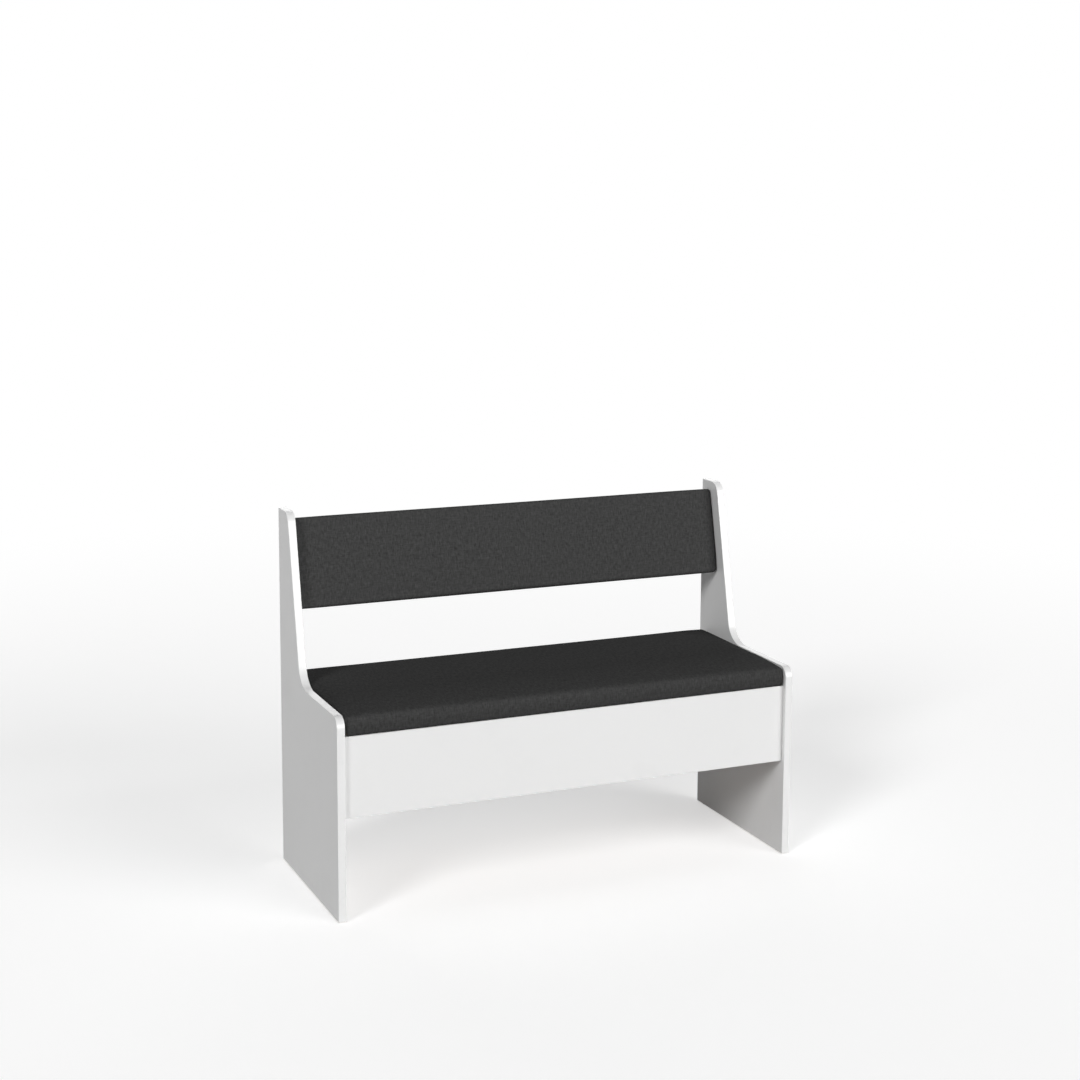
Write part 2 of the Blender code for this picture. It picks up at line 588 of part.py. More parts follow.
# A hinge with its axis on the line that both empties stand on, and two screws in each leaf.
def make_hinge(side, sign, rear_board, seat_board, seat_lining, fixed, moving):
    centre = sign * HINGE_SPACING / 2
    half = HINGE_LENGTH / 2
    knuckle = (HINGE_LENGTH - 2 * KNUCKLE_GAP) / 3
    middle = (centre - knuckle / 2, centre + knuckle / 2)
    outer = [(centre - half, centre - half + knuckle), (centre + half - knuckle, centre + half)]
    middle_notch = (middle[0] - KNUCKLE_GAP, middle[1] + KNUCKLE_GAP)
    outer_notches = [(centre - half - OVERCUT, middle[0]), (middle[1], centre + half + OVERCUT)]
    frame_leaf = make_leaf(f"hinge_frame_leaf_{side}", centre, outer, [middle_notch], (0, 0, 0), fixed)
    lid_leaf = make_leaf(f"hinge_lid_leaf_{side}", centre, [middle], outer_notches, (-pi / 2, 0, 0), moving)
    head = half + FIT_GAP
    profile = [(-head - PIN_HEAD_LENGTH, 0), (-head - PIN_HEAD_LENGTH, PIN_HEAD_RADIUS), (-head, PIN_HEAD_RADIUS)]
    profile += [(-head, PIN_RADIUS), (head, PIN_RADIUS), (head, PIN_HEAD_RADIUS)]
    profile += [(head + PIN_HEAD_LENGTH, PIN_HEAD_RADIUS), (head + PIN_HEAD_LENGTH, 0)]
    make_piece(f"hinge_pin_{side}", turned(profile, (centre, 0, 0), (1, 0, 0)), "zinc", carrier=fixed)
    face = LEAF_OFFSET - LEAF_THICKNESS
    drop = (LEAF_WIDTH + KNUCKLE_RADIUS) / 2
    for end, shift in {"outer": sign, "inner": -sign}.items():
        x = centre + shift * HINGE_SCREW_SPACING / 2
        into_rear = ((x, -face, -drop), (0, -1, 0))
        into_seat = ((x, -drop, face), (0, 0, 1))
        make_screw(f"hinge_frame_screw_{side}_{end}", *into_rear, fixed)
        make_screw(f"hinge_lid_screw_{side}_{end}", *into_seat, moving)
        combine(frame_leaf, "DIFFERENCE", [countersink(*into_rear)], fixed)
        combine(lid_leaf, "DIFFERENCE", [countersink(*into_seat)], moving)
        combine(rear_board, "DIFFERENCE", [pilot_hole(*into_rear)], fixed)
        combine(seat_board, "DIFFERENCE", [pilot_hole(*into_seat)], moving)
        combine(seat_lining, "DIFFERENCE", [pilot_hole(*into_seat)], moving)


def make_bench():
    panels = {side: make_side(side, sign) for side, sign in SIDES.items()}
    front_y = FRONT_EDGE + FRONT_SETBACK
    front_board = make_chest_board("front_panel", front_y, 1, CHEST_TOP)
    rear_board = make_chest_board("rear_panel", REAR_FACE, -1, REAR_TOP)
    make_chest_floor()
    for side, sign in SIDES.items():
        join_to_side(front_board, panels[side], f"front_{side}", sign, front_y, 1)
        join_to_side(rear_board, panels[side], f"rear_{side}", sign, REAR_FACE, -1)

    hinge_line = make_empty("hinge_line", (0, HINGE_Y, HINGE_Z))
    lid_pivot = make_empty("lid_pivot", (0, HINGE_Y, HINGE_Z))
    seat_front = FRONT_EDGE + SEAT_SETBACK
    seat_back = BACK_EDGE - SEAT_REAR_GAP
    seat_board, seat_lining = make_padded_panel(
        "seat",
        2 * (INNER_HALF - SEAT_END_GAP),
        seat_back - seat_front,
        SEAT_THICKNESS,
        SEAT_CROWN,
        SEAT_EDGE_RADIUS,
        SEAT_CROWN_RISE,
        (0, (seat_front + seat_back) / 2 - HINGE_Y, LID_BOTTOM - HINGE_Z),
        (0, 0, 0),
        lid_pivot,
    )
    for side, sign in SIDES.items():
        make_hinge(side, sign, rear_board, seat_board, seat_lining, hinge_line, lid_pivot)

    tilt = make_empty("backrest_tilt", (0, BACK_BOTTOM_FRONT, BACK_BOTTOM), (-LEAN_ANGLE, 0, 0))
    back_board, back_lining = make_padded_panel(
        "backrest",
        2 * (INNER_HALF - BACK_END_GAP),
        BACK_HEIGHT,
        BACK_THICKNESS,
        BACK_CROWN,
        BACK_EDGE_RADIUS,
        BACK_CROWN_RISE,
        (0, BACK_THICKNESS, BACK_HEIGHT / 2),
        (pi / 2, 0, 0),
        tilt,
    )
    for side, sign in SIDES.items():
        make_bracket(side, sign, panels[side], back_board, back_lining, tilt)


for leftover in list(bpy.data.objects):
    bpy.data.objects.remove(leftover)
make_bench()
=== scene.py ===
import json
from math import ceil, cos, pi, radians, sin, tan, tanh

import bmesh
import bpy
from mathutils import Matrix, Vector

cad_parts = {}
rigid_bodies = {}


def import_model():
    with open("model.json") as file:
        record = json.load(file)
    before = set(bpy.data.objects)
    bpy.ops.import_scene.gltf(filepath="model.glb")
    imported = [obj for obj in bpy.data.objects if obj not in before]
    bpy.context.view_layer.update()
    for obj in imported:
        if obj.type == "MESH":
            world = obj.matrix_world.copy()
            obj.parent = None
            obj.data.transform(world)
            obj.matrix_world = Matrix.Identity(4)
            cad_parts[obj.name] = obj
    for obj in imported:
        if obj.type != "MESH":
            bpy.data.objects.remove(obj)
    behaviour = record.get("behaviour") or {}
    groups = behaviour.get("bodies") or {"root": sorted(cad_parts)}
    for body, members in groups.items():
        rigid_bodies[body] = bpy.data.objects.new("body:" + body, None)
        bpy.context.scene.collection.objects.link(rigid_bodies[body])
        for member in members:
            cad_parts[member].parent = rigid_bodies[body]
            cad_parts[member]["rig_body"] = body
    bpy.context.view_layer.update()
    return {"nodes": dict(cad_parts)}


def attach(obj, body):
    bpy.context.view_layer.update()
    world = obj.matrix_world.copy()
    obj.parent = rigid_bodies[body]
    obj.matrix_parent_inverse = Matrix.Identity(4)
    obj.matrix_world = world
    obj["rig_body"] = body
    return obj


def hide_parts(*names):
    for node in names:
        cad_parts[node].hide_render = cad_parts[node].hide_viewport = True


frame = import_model()
nodes = frame["nodes"]
scene = bpy.context.scene
print("frame loaded:", len(nodes), "nodes")


# Shader and geometry graphs: arithmetic on a flow adds Math nodes
class Flow:
    def __init__(self, graph, socket):
        self.graph = graph
        self.socket = socket

    def other(self, name):  # another output of the same node
        return Flow(self.graph, self.socket.node.outputs[name])

    def math(self, operation, first, second=0.0, third=0.0):
        return self.graph.node("ShaderNodeMath", {"operation": operation}, {0: first, 1: second, 2: third})

    def __add__(self, value):
        return self.math("ADD", self, value)

    def __radd__(self, value):
        return self.math("ADD", value, self)

    def __sub__(self, value):
        return self.math("SUBTRACT", self, value)

    def __rsub__(self, value):
        return self.math("SUBTRACT", value, self)

    def __mul__(self, value):
        return self.math("MULTIPLY", self, value)

    def __rmul__(self, value):
        return self.math("MULTIPLY", value, self)

    def __pow__(self, value):
        return self.math("POWER", self, value)

    def __lt__(self, value):
        return self.math("LESS_THAN", self, value)

    def __abs__(self):
        return self.math("ABSOLUTE", self)


class Graph:
    def __init__(self, tree):
        self.tree = tree

    def set(self, made, inputs):
        for key, value in inputs.items():
            for item in value if isinstance(value, list) else [value]:
                if isinstance(item, Flow):
                    self.tree.links.new(item.socket, made.inputs[key])
                else:
                    made.inputs[key].default_value = item

    def node(self, kind, settings=None, inputs=None, output=0):
        made = self.tree.nodes.new(kind)
        for name, value in (settings or {}).items():
            setattr(made, name, value)
        self.set(made, inputs or {})
        return Flow(self, made.outputs[output])


# A material's graph, with the few nodes that several finishes share
class Finish(Graph):
    def __init__(self, name, constants=None):
        self.material = bpy.data.materials.new(name)
        self.material.use_nodes = True
        super().__init__(self.material.node_tree)
        self.shader = self.tree.nodes["Principled BSDF"]
        self.set(self.shader, constants or {})

    def place(self):  # metres, in the bench's own frame
        return self.node("ShaderNodeTexCoord", output="Object")

    def along(self, vector, axis):
        return self.node("ShaderNodeSeparateXYZ", None, {0: vector}, axis)

    def stretched(self, vector, factors):
        return self.node("ShaderNodeVectorMath", {"operation": "MULTIPLY"}, {0: vector, 1: factors})

    def noise(self, vector, scale, detail=2.0, roughness=0.5):
        inputs = {"Vector": vector, "Scale": scale, "Detail": detail, "Roughness": roughness}
        return self.node("ShaderNodeTexNoise", None, inputs)

    def ranged(self, value, low, high, start=0.0, end=1.0):
        inputs = {"Value": value, "From Min": low, "From Max": high, "To Min": start, "To Max": end}
        return self.node("ShaderNodeMapRange", {"interpolation_type": "SMOOTHSTEP"}, inputs)

    def tinted(self, first, second, share):
        return self.node("ShaderNodeMix", {"data_type": "RGBA"}, {0: share, 6: first, 7: second}, 2)

    def bump(self, height, strength, distance):
        inputs = {"Height": height, "Strength": strength, "Distance": distance}
        return self.node("ShaderNodeBump", None, inputs)

    def finished(self, inputs):
        self.set(self.shader, inputs)
        return self.material


def shade(colour, factor=1.0):
    return (colour[0] * factor, colour[1] * factor, colour[2] * factor, 1.0)


whiteBoard = {
    "colour": (0.800, 0.800, 0.797),
    "greyed": 0.965,  # tone where hands and mops have dulled it
    "roughness": (0.36, 0.46),
    "pearl": 0.0014,  # size of the surface's fine pearl, in metres
    "footEdge": 0.00205,  # height up to which the raw foot edge shows
    "chips": ((0.42, 0.29, 0.17), (0.66, 0.50, 0.32)),
}


def makeBoardFinish(name, rawFoot=False):
    look = whiteBoard
    graph = Finish(name, {"IOR": 1.47, "Specular IOR Level": 0.42})
    place = graph.place()
    broad = graph.noise(place, 3.5, 3.0, 0.55)
    smudge = graph.ranged(graph.noise(place, 9.0, 4.0, 0.6), 0.52, 0.78)
    nearFloor = graph.ranged(graph.along(place, 2), 0.10, 0.0)
    dulled = smudge * 0.5 + nearFloor * graph.ranged(graph.noise(place, 42.0, 3.0, 0.6), 0.42, 0.7) * 0.6
    colour = graph.tinted(shade(look["colour"]), shade(look["colour"], look["greyed"]), dulled)
    pearl = graph.noise(place, 1 / look["pearl"], 2.0, 0.5)
    scratch = graph.noise(graph.stretched(place, (900.0, 60.0, 14.0)), 1.0, 2.0, 0.6)
    low, high = look["roughness"]
    roughness = low + (high - low) * broad + smudge * 0.05 + graph.ranged(scratch, 0.7, 0.8) * 0.05
    if rawFoot:  # the foot edge has no edging
        raw = addChipboard(graph, place)[0]
        foot = graph.along(place, 2) < look["footEdge"]
        colour = graph.tinted(colour, raw, foot)
        roughness = roughness + foot * 0.4
    normal = graph.bump(pearl, 0.10, 0.0002)
    return graph.finished({"Base Color": colour, "Roughness": roughness, "Normal": normal})


def addChipboard(graph, place):
    dark, light = whiteBoard["chips"]
    warped = graph.stretched(place, (1.0, 1.6, 2.6))
    cells = graph.node("ShaderNodeTexVoronoi", None, {"Vector": warped, "Scale": 420.0}, "Color")
    tone = graph.node("ShaderNodeSeparateColor", None, {0: cells}, 0)
    dust = graph.noise(place, 1500.0, 2.0)
    return graph.tinted(shade(dark), shade(light), tone * 0.75 + dust * 0.25), tone


def makeChipboardFinish():
    graph = Finish("rawChipboard", {"Specular IOR Level": 0.2})
    colour, tone = addChipboard(graph, graph.place())
    roughness = 0.8 + 0.12 * tone
    return graph.finished({"Base Color": colour, "Roughness": roughness, "Normal": graph.bump(tone, 0.5, 0.0004)})


whiteEdging = {"colour": (0.812, 0.812, 0.809), "roughness": (0.28, 0.38), "drawn": 0.0006}


def makeEdgingFinish():
    look = whiteEdging
    graph = Finish(
        "whiteEdging", {"IOR": 1.5, "Specular IOR Level": 0.5, "Coat Weight": 0.5, "Coat Roughness": 0.25}
    )
    place = graph.place()
    drawn = graph.noise(graph.stretched(place, (1 / look["drawn"], 26.0, 26.0)), 1.0, 2.0, 0.5)
    worn = graph.ranged(graph.noise(place, 60.0, 3.0, 0.6), 0.56, 0.72)
    colour = graph.tinted(shade(look["colour"]), shade(look["colour"], 0.96), worn * 0.6)
    low, high = look["roughness"]
    roughness = low + (high - low) * drawn + worn * 0.08
    return graph.finished({"Base Color": colour, "Roughness": roughness, "Normal": graph.bump(drawn, 0.06, 0.0002)})


hardboard = {"white": (0.72, 0.715, 0.70), "brown": (0.20, 0.115, 0.06), "change": 0.2369}


def makeHardboardFinish():
    look = hardboard
    graph = Finish("whiteHardboard", {"Specular IOR Level": 0.3})
    place = graph.place()
    fibres = graph.noise(place, 900.0, 3.0, 0.7)
    screen = graph.node("ShaderNodeTexVoronoi", None, {"Vector": place, "Scale": 620.0})  # screen-marked back
    under = graph.along(place, 2) < look["change"]
    brown = graph.tinted(shade(look["brown"], 0.75), shade(look["brown"], 1.3), fibres)
    white = graph.tinted(shade(look["white"], 0.97), shade(look["white"]), graph.noise(place, 14.0))
    colour = graph.tinted(white, brown, under)
    roughness = 0.5 + 0.32 * under + 0.08 * fibres
    return graph.finished(
        {"Base Color": colour, "Roughness": roughness, "Normal": graph.bump(screen * under, 0.4, 0.0003)}
    )


beech = {"light": (0.62, 0.44, 0.27), "dark": (0.47, 0.30, 0.17)}


def makeBeechFinish():
    graph = Finish("beechDowel", {"Specular IOR Level": 0.3})
    place = graph.place()
    grain = graph.noise(graph.stretched(place, (40.0, 1400.0, 1400.0)), 1.0, 3.0, 0.6)
    colour = graph.tinted(shade(beech["light"]), shade(beech["dark"]), graph.ranged(grain, 0.35, 0.7))
    roughness = 0.6 + 0.2 * grain
    return graph.finished({"Base Color": colour, "Roughness": roughness, "Normal": graph.bump(grain, 0.3, 0.0003)})


zinc = {"colour": (0.60, 0.60, 0.585), "spot": (0.50, 0.505, 0.51), "roughness": (0.26, 0.42)}


def makeZincFinish():
    look = zinc
    graph = Finish("zincFitting", {"Metallic": 1.0})
    place = graph.place()
    spangle = graph.node("ShaderNodeTexVoronoi", None, {"Vector": place, "Scale": 520.0}, "Color")
    tone = graph.node("ShaderNodeSeparateColor", None, {0: spangle}, 0)
    brushed = graph.noise(graph.stretched(place, (80.0, 2600.0, 2600.0)), 1.0, 2.0, 0.6)
    dull = graph.ranged(graph.noise(place, 120.0, 3.0), 0.5, 0.75)
    colour = graph.tinted(shade(look["colour"]), shade(look["spot"]), tone * 0.4 + dull * 0.4)
    low, high = look["roughness"]
    roughness = low + (high - low) * brushed + dull * 0.1
    return graph.finished({"Base Color": colour, "Roughness": roughness, "Normal": graph.bump(brushed, 0.12, 0.0001)})


glidePlastic = {"colour": (0.68, 0.68, 0.67), "scuffed": (0.50, 0.49, 0.47)}


def makeGlideFinish():
    look = glidePlastic
    graph = Finish("glidePlastic", {"IOR": 1.5})
    place = graph.place()
    grain = graph.noise(place, 1800.0, 2.0)
    toneShift = graph.ranged(graph.along(place, 2), 0.0006, 0.0)
    colour = graph.tinted(shade(look["colour"]), shade(look["scuffed"]), toneShift * graph.noise(place, 400.0))
    roughness = 0.42 + 0.2 * grain
    return graph.finished({"Base Color": colour, "Roughness": roughness, "Normal": graph.bump(grain, 0.15, 0.0001)})


cloth = {
    "colour": (0.0500, 0.0500, 0.0497),
    "thread": 0.0009,  # width of one thread, in metres
    "slub": 0.013,  # length of a thick place in the yarn
    "streak": 0.80,  # how far a thread's tone strays
    "toneShift": 0.26,  # how much the painted light and shade change the cloth: lighter along its front edge as a painted highlight
    "roughness": (0.86, 0.98),
}


def makeClothFinish():
    look = cloth
    graph = Finish(
        "charcoalCloth", {"Specular IOR Level": 0.0, "Sheen Weight": 0.02, "Sheen Roughness": 0.5}
    )
    run = graph.node("ShaderNodeUVMap", {"uv_map": "clothRun"})  # metres over the cloth, after it is stretched
    across = 1 / (1.6 * look["thread"])
    lengthwise = 1 / look["slub"]
    warp = graph.noise(graph.stretched(run, (across, lengthwise, 1.0)), 1.0, 2.0, 0.6)
    weft = graph.noise(graph.stretched(run, (lengthwise, across, 1.0)), 1.0, 2.0, 0.6)
    broadWarp = graph.noise(graph.stretched(run, (across * 0.42, lengthwise * 0.8, 1.0)), 1.0, 3.0, 0.6)
    broadWeft = graph.noise(graph.stretched(run, (lengthwise * 0.8, across * 0.42, 1.0)), 1.0, 3.0, 0.6)
    mottle = graph.noise(run, 130.0, 3.0, 0.6)
    fleck = graph.noise(run, 640.0, 2.0, 0.6)
    slub = graph.ranged(warp, 0.60, 0.78)
    tone = 1 + (warp - 0.5) * look["streak"] * 0.9 + (weft - 0.5) * look["streak"] * 0.6
    tone = tone + (broadWarp - 0.5) * look["streak"] * 1.0 + (broadWeft - 0.5) * look["streak"] * 0.6
    tone = tone + (mottle - 0.5) * look["streak"] * 0.8
    tone = tone + (fleck - 0.5) * 0.3 + slub * 0.10
    rib = 2 * pi / (2 * look["thread"])
    warpWave = run.math("SINE", graph.along(run, 0) * rib)
    weftWave = run.math("SINE", graph.along(run, 1) * rib)
    weave = warpWave * weftWave * 0.5 + 0.5
    # Painted light and shade carried by the pad's points: a painted highlight along the front edge, painted shade on
    # the seat's top and in the fold at the foot, and the backrest's cloth painted lighter
    paintedLight = graph.node("ShaderNodeAttribute", {"attribute_name": "paintedLight"}, output="Fac")
    tone = tone * (0.93 + 0.14 * weave) * (1 + paintedLight * look["toneShift"])
    colour = graph.node(
        "ShaderNodeVectorMath", {"operation": "SCALE"}, {0: look["colour"], "Scale": tone}
    )
    height = weave * 0.6 + slub * 0.5 + fleck * 0.3
    low, high = look["roughness"]
    roughness = low + (high - low) * fleck
    return graph.finished({"Base Color": colour, "Roughness": roughness, "Normal": graph.bump(height, 0.45, 0.0004)})


lining = {"dark": (0.010, 0.010, 0.011), "light": (0.030, 0.030, 0.032)}


def makeLiningFinish():
    graph = Finish("blackLining", {"Specular IOR Level": 0.25, "Sheen Weight": 0.1})
    run = graph.node("ShaderNodeUVMap", {"uv_map": "clothRun"})
    bonded = graph.node("ShaderNodeTexVoronoi", {"feature": "DISTANCE_TO_EDGE"}, {"Vector": run, "Scale": 420.0})
    fibres = graph.noise(graph.stretched(run, (260.0, 900.0, 1.0)), 1.0, 4.0, 0.7)
    cell = graph.ranged(bonded, 0.0, 0.25)
    colour = graph.tinted(shade(lining["dark"]), shade(lining["light"]), cell * 0.5 + fibres * 0.5)
    roughness = 0.72 + 0.2 * fibres
    normal = graph.bump(cell + fibres * 0.5, 0.4, 0.0003)
    return graph.finished({"Base Color": colour, "Roughness": roughness, "Normal": normal})


finishes = {
    "white_melamine": makeBoardFinish("whiteMelamine"),
    "footed": makeBoardFinish("whiteMelamineFoot", rawFoot=True),
    "white_edging": makeEdgingFinish(),
    "white_hardboard": makeHardboardFinish(),
    "raw_chipboard": makeChipboardFinish(),
    "beech_dowel": makeBeechFinish(),
    "charcoal_fabric": makeClothFinish(),
    "black_lining": makeLiningFinish(),
    "zinc_fitting": makeZincFinish(),
    "glide_plastic": makeGlideFinish(),
}
print("finishes made:", len(finishes))


# A piece from a mesh or a bmesh, with its finish and the body it rides on
def addPiece(name, form, slot, body, stands=(), sharp=32, smooth=True):
    mesh = bpy.data.meshes.new(name)
    if isinstance(form, bpy.types.Mesh):
        mesh = form
        mesh.name = name
    else:
        form.to_mesh(mesh)
        form.free()
    if smooth:
        mesh.shade_smooth()
        mesh.set_sharp_from_angle(angle=radians(sharp))
    piece = bpy.data.objects.new(name, mesh)
    scene.collection.objects.link(piece)
    piece.data.materials.clear()
    piece.data.materials.append(finishes[slot])
    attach(piece, body)
    if stands:
        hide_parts(*stands)
    return piece


def bodyOf(node):
    return nodes[node]["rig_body"]


def keepFlat(piece):
    weighted = piece.modifiers.new("Flat faces stay flat", "WEIGHTED_NORMAL")
    weighted.weight = 100
    weighted.keep_sharp = True


# A CAD node's own form, with its doubles merged and its long sharp edges eased
def addEased(node, name, slot, width, shortest=0.0, steps=2):
    form = bmesh.new()
    form.from_mesh(nodes[node].data)
    bmesh.ops.remove_doubles(form, verts=form.verts, dist=0.00001)
    bmesh.ops.dissolve_limit(form, angle_limit=radians(0.5), verts=form.verts, edges=form.edges)
    sharp = [
        edge
        for edge in form.edges
        if len(edge.link_faces) == 2 and edge.calc_face_angle(0) > radians(35) and edge.calc_length() > shortest
    ]
    bmesh.ops.bevel(
        form, geom=sharp, offset=width, segments=steps, profile=0.5, affect="EDGES", clamp_overlap=True
    )
    keepFlat(addPiece(name, form, slot, bodyOf(node), [node], sharp=50))


# The photograph's view, with its angles in degrees
view = {
    "place": (-1.7481, -4.0160, 1.6136),
    "heading": 23.538,  # from straight at the front, to the right
    "dip": 8.317,
    "roll": 0.304,
    "lens": 65.35,
    "shift": -0.09,
}


def addCamera():
    heading, dip, roll = radians(view["heading"]), radians(view["dip"]), radians(view["roll"])
    ahead = Vector((sin(heading) * cos(dip), cos(heading) * cos(dip), -sin(dip)))
    level = Vector((cos(heading), -sin(heading), 0))
    upright = level.cross(ahead)
    right = level * cos(roll) + upright * sin(roll)
    upward = right.cross(ahead)
    turn = Matrix((right, upward, -ahead)).transposed().to_4x4()
    data = bpy.data.cameras.new("photoView")
    data.lens = view["lens"]
    data.sensor_width = 36
    data.shift_y = view["shift"]
    camera = bpy.data.objects.new("photoView", data)
    camera.matrix_world = Matrix.Translation(view["place"]) @ turn
    scene.collection.objects.link(camera)
    scene.camera = camera


addCamera()

# Edging of the side boards: outline corners are (y, z, radius), from the foot round by the back
sideBoard = {
    "width": 1.100,
    "thickness": 0.018,
    "corners": [
        (-0.210, 0.002, 0),
        (0.210, 0.002, 0),
        (0.210, 0.827, 0.0015),
        (0.1395, 0.827, 0.030),
        (0.056394, 0.449, 0.060),
        (-0.210, 0.449, 0.025),
    ],
    "strip": 0.00125,  # edging, up to the board's core
    "easing": 0.0010,  # its rounded arrises
    "easingSteps": 4,
    "arcStep": 4,  # degrees
}


def cross(first, second):
    return first.x * second.y - first.y * second.x


def insetCorners(corners, amounts):
    lines = []
    for index, corner in enumerate(corners):
        start = Vector(corner[:2])
        run = Vector(corners[(index + 1) % len(corners)][:2]) - start
        lines.append((start + Vector((-run.y, run.x)).normalized() * amounts[index], run))
    moved = []
    for index, corner in enumerate(corners):
        (before, runBefore), (after, runAfter) = lines[index - 1], lines[index]
        turn = cross(runBefore, runAfter)
        point = before + runBefore * (cross(after - before, runAfter) / turn)
        shift = amounts[index] if turn > 0 else -amounts[index]
        moved.append((point.x, point.y, max(corner[2] - shift, 0.0001) if corner[2] else 0))
    return moved


def roundedOutline(corners, arcStep):
    points = []
    for index, corner in enumerate(corners):
        tip = Vector(corner[:2])
        if not corner[2]:
            points.append(tip)
            continue
        back = (Vector(corners[index - 1][:2]) - tip).normalized()
        ahead = (Vector(corners[(index + 1) % len(corners)][:2]) - tip).normalized()
        half = back.angle(ahead) / 2
        centre = tip + (back + ahead).normalized() * (corner[2] / sin(half))
        start = tip + back * (corner[2] / tan(half)) - centre
        end = tip + ahead * (corner[2] / tan(half)) - centre
        sweep = pi - 2 * half if cross(start, end) > 0 else 2 * half - pi
        steps = max(3, ceil(abs(sweep) / radians(arcStep)))
        points += [centre + Matrix.Rotation(sweep * step / steps, 2) @ start for step in range(steps + 1)]
    return points


def addEdging(side, sign):
    look = sideBoard
    half = look["thickness"] / 2
    middle = sign * (look["width"] - look["thickness"]) / 2
    easing = look["easing"]
    section = [(look["strip"], -half)]  # (inset, x), from one inner edge over the outside to the other
    for step in range(look["easingSteps"] + 1):
        angle = step / look["easingSteps"] * pi / 2
        section.append((easing - easing * sin(angle), -half + easing - easing * cos(angle)))
    section += [(depth, -x) for depth, x in reversed(section)]
    edges = len(look["corners"]) - 1
    form = bmesh.new()
    rows = []
    for depth, x in section:
        outline = roundedOutline(insetCorners(look["corners"], [0] + [depth] * edges), look["arcStep"])
        path = outline[1:] + outline[:1]  # open at the foot
        rows.append([form.verts.new((middle + x, point.x, point.y)) for point in path])
    rows.append(rows[0])
    for first, second in zip(rows, rows[1:]):
        for index in range(len(first) - 1):
            form.faces.new((first[index], first[index + 1], second[index + 1], second[index]))
    for end in (0, -1):
        form.faces.new([row[end] for row in rows[:-1]])
    bmesh.ops.recalc_face_normals(form, faces=form.faces)
    keepFlat(addPiece(f"edging_{side}", form, "white_edging", "frame", [f"edge_band_{side}"], sharp=40))


for side, sign in {"left": -1, "right": 1}.items():
    addEdging(side, sign)

# Boards and fittings that keep the CAD form, with eased edges
boardEdges = {"width": 0.0008, "shortest": 0.1, "steps": 3}
# First words of a node: ending of the piece's name, slot, easing, shortest edge that is eased
fittings = {
    "backrest_bracket": ("angle", "zinc_fitting", 0.0004, 0.0018),
    "cam_lock": ("disc", "zinc_fitting", 0.0003, 0.0002),
    "glide": ("nail", "glide_plastic", 0.0004, 0.001),
    "hinge_frame_leaf": ("plate", "zinc_fitting", 0.0003, 0.0012),
    "hinge_lid_leaf": ("plate", "zinc_fitting", 0.0003, 0.0012),
    "hinge_pin": ("rivet", "zinc_fitting", 0.0003, 0.0002),
}

for label in ("front_panel", "rear_panel"):
    addEased(label, f"{label}_board", "white_melamine", **boardEdges)
for label in sorted(nodes):
    for start, (ending, slot, width, shortest) in fittings.items():
        if label.startswith(start):
            addEased(label, f"{label}_{ending}", slot, width, shortest)

kept = {
    "side_panel": "footed",
    "chest_floor": "white_hardboard",
    "seat_board": "raw_chipboard",
    "backrest_board": "raw_chipboard",
    "dowel": "beech_dowel",
    "cam_bolt": "zinc_fitting",
}
for label, thing in nodes.items():
    for start, slot in kept.items():
        if label.startswith(start):
            thing.data.materials.clear()
            thing.data.materials.append(finishes[slot])
print("boards and fittings done")


# Geometry node trees: screws and staples
def newTree(name, sizes):
    tree = bpy.data.node_groups.new(name, "GeometryNodeTree")
    tree.interface.new_socket("Geometry", in_out="OUTPUT", socket_type="NodeSocketGeometry")
    tree.interface.new_socket("Geometry", in_out="INPUT", socket_type="NodeSocketGeometry")
    for label, value in sizes.items():
        made = tree.interface.new_socket(label, in_out="INPUT", socket_type="NodeSocketFloat")
        made.default_value = value
    graph = Graph(tree)
    given = graph.node("NodeGroupInput")
    return graph, given


def endTree(graph, shape, slot):
    real = graph.node("GeometryNodeRealizeInstances", None, {0: shape})
    coated = graph.node("GeometryNodeSetMaterial", None, {"Geometry": real, "Material": finishes[slot]})
    out = graph.tree.nodes.new("NodeGroupOutput")
    graph.tree.links.new(coated.socket, out.inputs[0])
    return graph.tree


# Runs a tree on a mesh and gives the plain result
def grown(mesh, tree, sizes):
    holder = bpy.data.objects.new("seedPoints", mesh)
    scene.collection.objects.link(holder)
    modifier = holder.modifiers.new("Grow", "NODES")
    modifier.node_group = tree
    for item in tree.interface.items_tree:
        if item.in_out == "INPUT" and item.name in sizes:
            modifier[item.identifier] = sizes[item.name]
    seen = holder.evaluated_get(bpy.context.evaluated_depsgraph_get())
    plain = bpy.data.meshes.new_from_object(seen)
    holder.modifiers.remove(modifier)
    bpy.data.objects.remove(holder)
    return plain


screw = {
    "Head Radius": 0.00345,
    "Head Depth": 0.0014,
    "Shank Radius": 0.0017,
    "Length": 0.0115,
    "Recess Width": 0.0008,
    "Recess Reach": 0.0040,
    "Recess Depth": 0.0011,
}


